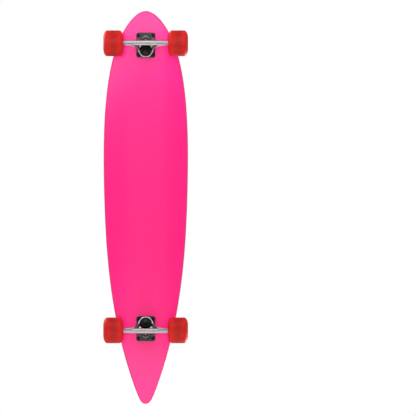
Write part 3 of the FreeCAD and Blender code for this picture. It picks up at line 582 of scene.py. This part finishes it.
# barrel with rounded shoulders and a waist of sine squared, and cone with a straight foot and a rounded tip
def bushingPieces(end):
    shape = kingpinShape
    centre, axis = kingpinFrame(end)
    barrel, cone = shape["boardside"], shape["roadside"]
    floor, bore, edgeRows = shape["floor"], shape["bore"], shape["edgeRows"]
    edge, far = barrel["edge"], -floor - barrel["length"]
    share = np.linspace(0, 1, barrel["rows"])
    belly = barrel["wide"] - (barrel["wide"] - barrel["waist"]) * np.sin(share * math.pi) ** 2
    wall = np.stack([-floor - edge - (barrel["length"] - 2 * edge) * share, belly], -1)
    upper = arcRows((-floor - edge, barrel["wide"] - edge), edge, 0, 90, edgeRows)
    lower = arcRows((far + edge, barrel["wide"] - edge), edge, 90, 180, edgeRows)
    boardside = np.concatenate([[(-floor, bore)], upper, wall[1:-1], lower, [(far, bore)]])
    edge, tipEnd = cone["edge"], floor + cone["length"]
    taper = np.linspace((floor + cone["step"], cone["wide"]), (tipEnd - edge, cone["tip"]), cone["rows"])
    tip = arcRows((tipEnd - edge, cone["tip"] - edge), edge, *cone["tipTurn"], edgeRows)
    foot = [(floor, bore), (floor, cone["wide"] - cone["foot"]), (floor + cone["foot"], cone["wide"])]
    roadside = np.concatenate([foot, taper, tip, [(tipEnd, bore)]])
    for kind, section, reach in (("boardside", boardside, far), ("roadside", roadside, tipEnd)):
        grid = turned(section, shape["segments"], centre, axis)
        thing = gridObject(end + "_" + kind + "_urethane", [grid], finishes["bushing"], loop=True)
        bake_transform(thing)
        finishPiece(thing, shape["sharp"], end + "_" + kind + "_bushing")


for end in ends:
    bushingPieces(end)
print("bushings turned")

nutForm = {
    "segments": 96, "boreGap": 0.02, "faceShare": 0.47, "crownShare": 0.6, "footRise": 0.25, "footIn": 0.3,
    "footTop": 0.6, "fillet": 0.25, "rimDrop": 0.5, "shoulder": (0.15, 0.12), "rimIn": 0.45, "lip": 0.9,
    "nylonDrop": 0.35, "nylonIn": 1.0, "nylonRows": (12, 14), "sharp": 35,
}


# distance from the axis to the side of a hexagon of a given width across its flats
def hexagonRadius(angle, flats, phase=0.0):
    turn = (angle + phase + math.pi / 6) % (math.pi / 3) - math.pi / 6
    return flats / 2 / np.cos(turn)


# lock nut: at each height the radius is the lesser of the hexagon's and a turned limit, then comes a collar
# with a nylon ring
def nutGrid(shape, screwRadius, start, centre, axis, phase=0.0):
    form = nutForm
    flats, collar, bore = shape["flats"], shape["collar"], screwRadius + form["boreGap"]
    corner, top = flats / math.sqrt(3), start + shape["height"]
    rim = top + shape["collarHeight"]
    face, nylon = flats * form["faceShare"], rim - form["nylonDrop"]
    crown = form["crownShare"] * (corner - flats / 2)
    down, inside = form["shoulder"]
    rows = [(start, bore), (start, face), (start + form["footRise"], corner - form["footIn"]),
            (start + form["footTop"], corner), (top - crown, corner), (top - crown / 2, corner - crown),
            (top, face), (top, collar + form["fillet"]), (top + form["fillet"], collar),
            (rim - form["rimDrop"], collar), (rim - down, collar - inside), (rim, collar - form["rimIn"]),
            (rim, collar - form["lip"]), (nylon, collar - form["nylonIn"]), (nylon, bore)]

    def sixSided(angle, height, radius):
        return np.minimum(radius, hexagonRadius(angle, flats, phase))

    return turned(rows, form["segments"], centre, axis, radiusFor=sixSided)


# nuts of one kind as one piece, with a finish of their own for the nylon rings
def lockNuts(name, grids, replaced, body):
    thing = gridObject(name, grids, finishes["fastener"], loop=True,
                       rowFinish=(finishes["nylon"], nutForm["nylonRows"]))
    finishPiece(thing, nutForm["sharp"], replaced, body)


threadStep = 0.15  # mm between the rows of a thread


# rows of a screw thread: fine steps along the axis; threadRadius then swings the radius along a helix
def threadRows(first, last, radius):
    height = np.arange(first, last, math.copysign(threadStep, last - first))
    return np.stack([height, np.full(len(height), radius)], -1)


# the radius falls by a triangle wave of height over pitch less turns, which fades in and out over one pitch;
# rows within three depths of the axis stay as they are
def threadRadius(first, last, pitch, depth):
    def helix(angle, height, radius):
        inside = np.clip((height - first) / pitch, 0, 1) * np.clip((last - height) / pitch, 0, 1)
        swing = np.abs(((height / pitch - angle / (2 * math.pi)) % 1) * 2 - 1)
        return radius - depth * swing * inside * (radius > depth * 3)
    return helix


boltShape = {
    "spacingLength": 53.98, "spacingWidth": 41.28, "radius": 2.4, "head": 4.6, "rim": 0.4, "recess": 0.2,
    "grip": 0.9, "plate": 4.5, "tip": 1.6, "tipChamfer": 0.5, "tipShoulder": 0.1, "tipIn": 0.6,
    "pitch": 0.8, "threadDepth": 0.4, "threadLength": 9.0, "segments": 72, "sharp": 35,
    # the cross: half length and width of an arm, depth, and how far its sides and ends slope
    "crossLength": 2.7, "crossWidth": 0.62, "crossDepth": 0.62, "sideSlope": 0.25, "endSlope": 0.9,
    "crossReach": 3.2, "crossRows": 18, "faceLevel": 0.01,
    # how far down and in the head's rim is rounded
    "headRound": ((0, 0.2), (0.12, 0.05), (0.25, 0)), "rimHighlightRows": (16, 21),
    "nut": {"flats": 9.5, "height": 4.4, "collar": 4.1, "collarHeight": 1.4},
}


# flat-headed bolts with a cross recess sunk into the head and a thread at the tip, and their lock nuts
def mountingHardware(end):
    shape, nut = boltShape, boltShape["nut"]
    low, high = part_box(end + "_baseplate")
    middle = (low + high) / 2
    radius, head = shape["radius"], shape["head"]
    top = deckShape["thickness"] + shape["grip"] - shape["recess"]
    tip = -(shape["plate"] + nut["height"] + nut["collarHeight"] + shape["tip"])
    tipTop, thread = tip + shape["tipChamfer"], tip + shape["threadLength"]

    def crossArm(along, across):
        inside = np.clip((shape["crossWidth"] - np.abs(across)) / shape["sideSlope"], 0, 1)
        return inside * np.clip((shape["crossLength"] - np.abs(along)) / shape["endSlope"], 0, 1)

    def crossRecess(angle, height, radius):
        x, y = radius * np.cos(angle), radius * np.sin(angle)
        sunk = np.maximum(crossArm(x, y), crossArm(y, x))
        return -shape["crossDepth"] * sunk * (height > top - shape["faceLevel"])

    headRows = [(top, reach) for reach in np.linspace(0, shape["crossReach"], shape["crossRows"])]
    headRows += [(top - down, head - inside) for down, inside in shape["headRound"]]
    headRows += [(top - shape["rim"], head), (top - shape["rim"] - head + radius, radius)]
    tipRows = [(tipTop, radius - shape["tipShoulder"]), (tip, radius - shape["tipIn"]), (tip, 0)]
    rows = np.concatenate([headRows, threadRows(thread, tipTop, radius), tipRows])
    helix = threadRadius(tip, thread, shape["pitch"], shape["threadDepth"])
    bolts, nuts = [], []
    for across in (-1, 1):
        for along in (-1, 1):
            centre = (across * shape["spacingWidth"] / 2 * mm,
                      middle.y + along * shape["spacingLength"] / 2 * mm, deckShape["underside"] * mm)
            bolts.append(turned(rows, shape["segments"], centre, (0, 0, 1), helix, crossRecess))
            nuts.append(nutGrid(nut, radius, shape["plate"], centre, (0, 0, -1)))
    # the rim of the heads is painted lighter: a painted highlight
    thing = gridObject(end + "_cross_head_bolts", bolts, finishes["fastener"],
                       rowFinish=(finishes["rimHighlightHead"], shape["rimHighlightRows"]))
    finishPiece(thing, shape["sharp"], end + "_mounting_bolts", "board")
    lockNuts(end + "_plate_lock_nuts", nuts, end + "_mounting_nuts", "board")


# bolt with a hexagon head, a long shank and a thread, and its lock nut
def kingpinHardware(end):
    shape, nut = kingpinShape, kingpinShape["nut"]
    centre, axis = kingpinFrame(end)
    radius, flats = shape["radius"], shape["headFlats"]
    seat = shape["floor"] + shape["roadside"]["length"] + shape["washer"]
    tip = seat + nut["height"] + nut["collarHeight"] + shape["tip"]
    tipStart, thread = tip - shape["tipChamfer"], seat - shape["threadBehind"]
    head = -shape["floor"] - shape["boardside"]["length"] - shape["washer"] - shape["seatWall"]
    face, corner = head - shape["headHeight"], flats / math.sqrt(3)
    helix = threadRadius(thread, tip, shape["pitch"], shape["threadDepth"])

    def headAndThread(angle, height, radius):
        radius = np.where(height <= head, np.minimum(radius, hexagonRadius(angle, flats)), radius)
        return helix(angle, height, radius)

    headRows = [(face, 0), (face, flats * shape["headFaceShare"]), (face + shape["headChamfer"], corner),
                (head, corner), (head, radius + shape["neckFillet"]), (head + shape["neckFillet"], radius)]
    tipRows = [(tipStart, radius - shape["tipShoulder"]), (tip, radius - shape["tipIn"]), (tip, 0)]
    rows = np.concatenate([headRows, threadRows(thread, tipStart, radius), tipRows])
    grid = turned(rows, shape["segments"], centre, axis, headAndThread)
    thing = gridObject(end + "_threaded_kingpin", [grid], finishes["fastener"])
    finishPiece(thing, shape["sharp"], end + "_kingpin", "board")
    grid = nutGrid(nut, radius, seat, centre, axis)
    lockNuts(end + "_kingpin_lock_nut", [grid], end + "_kingpin_nut", "board")


axleShape = {
    "radius": 4.0, "chamfer": 0.8, "threadLength": 12.0, "threadPast": 0.2, "threadDepth": 0.5,
    "pitch": 1.06, "seat": 100.6, "segments": 72, "sharp": 35,
    "nut": {"flats": 12.7, "height": 5.6, "collar": 5.6, "collarHeight": 1.9},
}


# axle rod threaded at both ends, with a lock nut on each
def axleHardware(end):
    shape, nut, radius = axleShape, axleShape["nut"], axleShape["radius"]
    low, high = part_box(end + "_axle")
    middle, reach = (low + high) / 2, (high.x - low.x) / 2 / mm
    start, chamfer = reach - shape["threadLength"], reach - shape["chamfer"]
    helix = threadRadius(start, reach + shape["threadPast"], shape["pitch"], shape["threadDepth"])
    tipRows = [(chamfer, radius), (reach, radius - shape["chamfer"]), (reach, 0)]
    half = np.concatenate([[(0, radius)], threadRows(start, chamfer, radius), tipRows])
    rows = np.concatenate([(half * (-1, 1))[:0:-1], half])

    def bothThreads(angle, height, radius):
        return helix(angle * np.sign(height), np.abs(height), radius)

    grid = turned(rows, shape["segments"], middle, (1, 0, 0), bothThreads)
    thing = gridObject(end + "_threaded_axle", [grid], finishes["axle"])
    finishPiece(thing, shape["sharp"], end + "_axle", end + "_steering")
    grids = [nutGrid(nut, radius, shape["seat"], middle, (way, 0, 0), math.pi / 6) for way in (-1, 1)]
    lockNuts(end + "_axle_lock_nuts", grids, end + "_axle_nuts", end + "_steering")


shieldShape = {
    "outer": 9.6, "inner": 6.2, "thickness": 0.4, "segments": 72, "sharp": 30,
    # distances of the inner faces from the board's middle; every second shield looks outwards
    "faces": (76.1, 82.1, 93.1, 99.1),
    # steps from the rim inwards and from the bore outwards: share of half the thickness, and mm
    "rimSteps": ((0.0, 0), (0.9, 0.35), (0.9, 0.8), (0.25, 1.0)),
    "boreSteps": ((0.25, 0.9), (0.9, 0.6), (0.9, 0)), "backShare": 0.9,
}


# dished bearing shields: a ring pressed with two shallow steps, on both faces of each bearing
def shieldPieces(end, hand):
    shape, outer, inner = shieldShape, shieldShape["outer"], shieldShape["inner"]
    low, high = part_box(end + "_axle")
    steps = [(rise, outer - inside) for rise, inside in shape["rimSteps"]]
    steps += [(rise, inner + outside) for rise, outside in shape["boreSteps"]]
    thick = shape["thickness"] / 2
    grids = []
    for face in shape["faces"]:
        outward = 1 if face in shape["faces"][1::2] else -1
        base = face + thick
        front = [(base + outward * thick * rise, radius) for rise, radius in steps]
        back = [(base - outward * thick * shape["backShare"], radius) for radius in (inner, outer)]
        grids.append(turned(front + back, shape["segments"], (low + high) / 2, hands[hand]))
    thing = gridObject(end + "_" + hand + "_dished_shields", grids, finishes["shield"], loop=True)
    finishPiece(thing, shape["sharp"], end + "_" + hand + "_bearing_shields",
                end + "_" + hand + "_roller")


for end in ends:
    mountingHardware(end)
    kingpinHardware(end)
    axleHardware(end)
    for hand in hands:
        shieldPieces(end, hand)
print("hardware made")

# CAD nodes that keep their shape get their finish here
nodeFinishes = {
    "grip_tape": "grip", "baseplate": "plate", "pivot_cup": "cup", "hanger": "hanger",
    "boardside_washer": "washer", "roadside_washer": "washer", "speed_washers": "axle",
    "bearing_inner_rings": "bearing", "bearing_outer_rings": "bearing", "bearing_ball_rings": "bearing",
    "bearing_spacers": "bearing",
}
for name, thing in nodes.items():
    kind = name
    for word in ("front_", "rear_", "left_", "right_"):
        kind = kind.removeprefix(word)
    if kind in nodeFinishes:
        thing.data.materials.clear()
        thing.data.materials.append(finishes[nodeFinishes[kind]])
print("CAD nodes finished")

stageShape = {
    "floorHalf": 8.0, "floorColour": "#FFFFFF", "shadeColour": "#8E8A8C", "shadeReach": 0.25,
    # strength of the white room as light on the object, and in reflections overhead and past the nose;
    # overhead begins at the first steepness and is full at the second
    "ambient": 0.45, "overhead": 0.14, "pastNose": 0.4, "steepness": (0.3, 0.95),
    # lamps: place, aim, width, height, power, seen in reflections
    "lamps": {
        "front": ((0, 0.05, -6.0), (0, 0, 0.05), 1.2, 1.2, 100, False),
        "noseSheen": ((0.16, 0.84, -0.9), (0.06, 0.5, 0.09), 1.1, 0.9, 6.0, True),
        "tailSheen": ((0.04, -0.76, -0.9), (0, -0.45, 0.09), 0.9, 0.8, 3.0, True),
        "noseSide": ((0, 4.0, -0.8), (0, 0, 0.05), 1.6, 1.0, 65, False),
        "tailSide": ((0, -4.0, -0.8), (0, 0, 0.05), 1.6, 1.0, 65, False),
        "keyAbove": ((-1.4, -1.6, 2.4), (0, 0, 0.05), 1.8, 1.8, 70, True),
        "fillAbove": ((1.7, 1.2, 2.0), (0, 0, 0.05), 1.8, 1.8, 28, True),
    },
    "cameraDistance": 30.0, "sensorWidth": 36.0, "clip": (0.5, 100.0), "frameWidth": 1.1294,
    "imageWidth": 416, "boardPixel": (145.8, 207.5),
}


def floorMaterial():
    # plain pale studio floor; only a camera above it sees it, so that the board can be seen from below
    material = bpy.data.materials.new("pale studio floor")
    material.use_nodes = True
    tree = material.node_tree
    tree.nodes.remove(tree.nodes["Principled BSDF"])
    path = addNode(tree, "ShaderNodeLightPath")
    facing = addNode(tree, "ShaderNodeNewGeometry")
    front = calculate(tree, "SUBTRACT", 1.0, facing.outputs["Backfacing"])
    shown = calculate(tree, "MULTIPLY", front, path.outputs["Is Camera Ray"])
    clear = addNode(tree, "ShaderNodeBsdfTransparent")
    # as white as the backdrop, shaded where the board is near
    shape = stageShape
    near = addNode(tree, "ShaderNodeAmbientOcclusion", {"samples": 16}, {"Distance": shape["shadeReach"]})
    shade = mixColours(tree, near.outputs["AO"], linearColour(shape["shadeColour"]),
                       linearColour(shape["floorColour"]))
    white = addNode(tree, "ShaderNodeEmission", {}, {"Color": shade})
    blend = addNode(tree, "ShaderNodeMixShader", {}, {0: shown, 1: clear.outputs[0], 2: white.outputs[0]})
    addNode(tree, tree.nodes["Material Output"], {}, {"Surface": blend.outputs[0]})
    return material


def floorPiece():
    half = stageShape["floorHalf"]
    mesh = bpy.data.meshes.new("studio_floor")
    # one wide triangle, so that no seam crosses the view
    mesh.from_pydata([(-2 * half, -half, 0), (2 * half, -half, 0), (0, 2 * half, 0)], [], [(0, 1, 2)])
    mesh.materials.append(floorMaterial())
    floor = bpy.data.objects.new("studio_floor", mesh)
    bpy.context.scene.collection.objects.link(floor)


def studioWorld():
    # white where the camera, metal or clear pieces look; softer as light on the object
    world = bpy.data.worlds.new("white studio")
    bpy.context.scene.world = world
    world.use_nodes = True
    tree = world.node_tree
    path = addNode(tree, "ShaderNodeLightPath")
    seen = path.outputs["Is Camera Ray"]
    for ray in ("Is Glossy Ray", "Is Transmission Ray"):
        seen = calculate(tree, "MAXIMUM", seen, path.outputs[ray])
    strength = remap(tree, seen, toMin=stageShape["ambient"])
    # reflections find white walls at the sides, less light past the nose, and a dimmer room above and below
    sky = addNode(tree, "ShaderNodeTexCoord").outputs["Generated"]
    way = addNode(tree, "ShaderNodeSeparateXYZ", {}, {0: sky})
    steep = calculate(tree, "ABSOLUTE", way.outputs["Z"])
    walls = remap(tree, steep, *stageShape["steepness"], 1.0, stageShape["overhead"])
    nose = remap(tree, way.outputs["Y"], toMin=1.0, toMax=stageShape["pastNose"])
    walls = calculate(tree, "MULTIPLY", walls, nose)
    # a Mix node set to numbers takes them at sockets 2 and 3
    glossy = addNode(tree, "ShaderNodeMix", {"data_type": "FLOAT"}, {
        mixShare: path.outputs["Is Glossy Ray"], 2: 1.0, 3: walls})
    strength = calculate(tree, "MULTIPLY", strength, glossy.outputs[0])
    addNode(tree, tree.nodes["Background"], {}, {"Color": (1, 1, 1, 1), "Strength": strength})


def lamps():
    for name, (place, aim, width, height, power, mirrored) in stageShape["lamps"].items():
        light = bpy.data.lights.new(name, "AREA")
        light.shape, light.size, light.size_y, light.energy = "RECTANGLE", width, height, power
        lamp = bpy.data.objects.new(name, light)
        lamp.location = place
        lamp.rotation_euler = (Vector(place) - Vector(aim)).to_track_quat("Z", "Y").to_euler()
        lamp.visible_camera, lamp.visible_glossy = False, mirrored
        bpy.context.scene.collection.objects.link(lamp)


def underCamera():
    # square on to the underside from below, nose up, with a lens so long that nothing converges
    shape = stageShape
    data = bpy.data.cameras.new("underside camera")
    data.sensor_width = shape["sensorWidth"]
    data.lens = data.sensor_width * shape["cameraDistance"] / shape["frameWidth"]
    data.clip_start, data.clip_end = shape["clip"]
    camera = bpy.data.objects.new("underside camera", data)
    # the board stands left of the middle, so the camera stands off to its right
    pixel, middle = shape["frameWidth"] / shape["imageWidth"], shape["imageWidth"] / 2
    across, down = shape["boardPixel"]
    camera.location = ((across - middle) * pixel, (down - middle) * pixel,
                       deckShape["underside"] * mm - shape["cameraDistance"])
    camera.rotation_euler = (math.pi, 0, math.pi)
    bpy.context.scene.collection.objects.link(camera)
    bpy.context.scene.camera = camera


floorPiece()
studioWorld()
lamps()
underCamera()
bpy.context.scene.view_settings.view_transform = "Standard"
print("stage set")
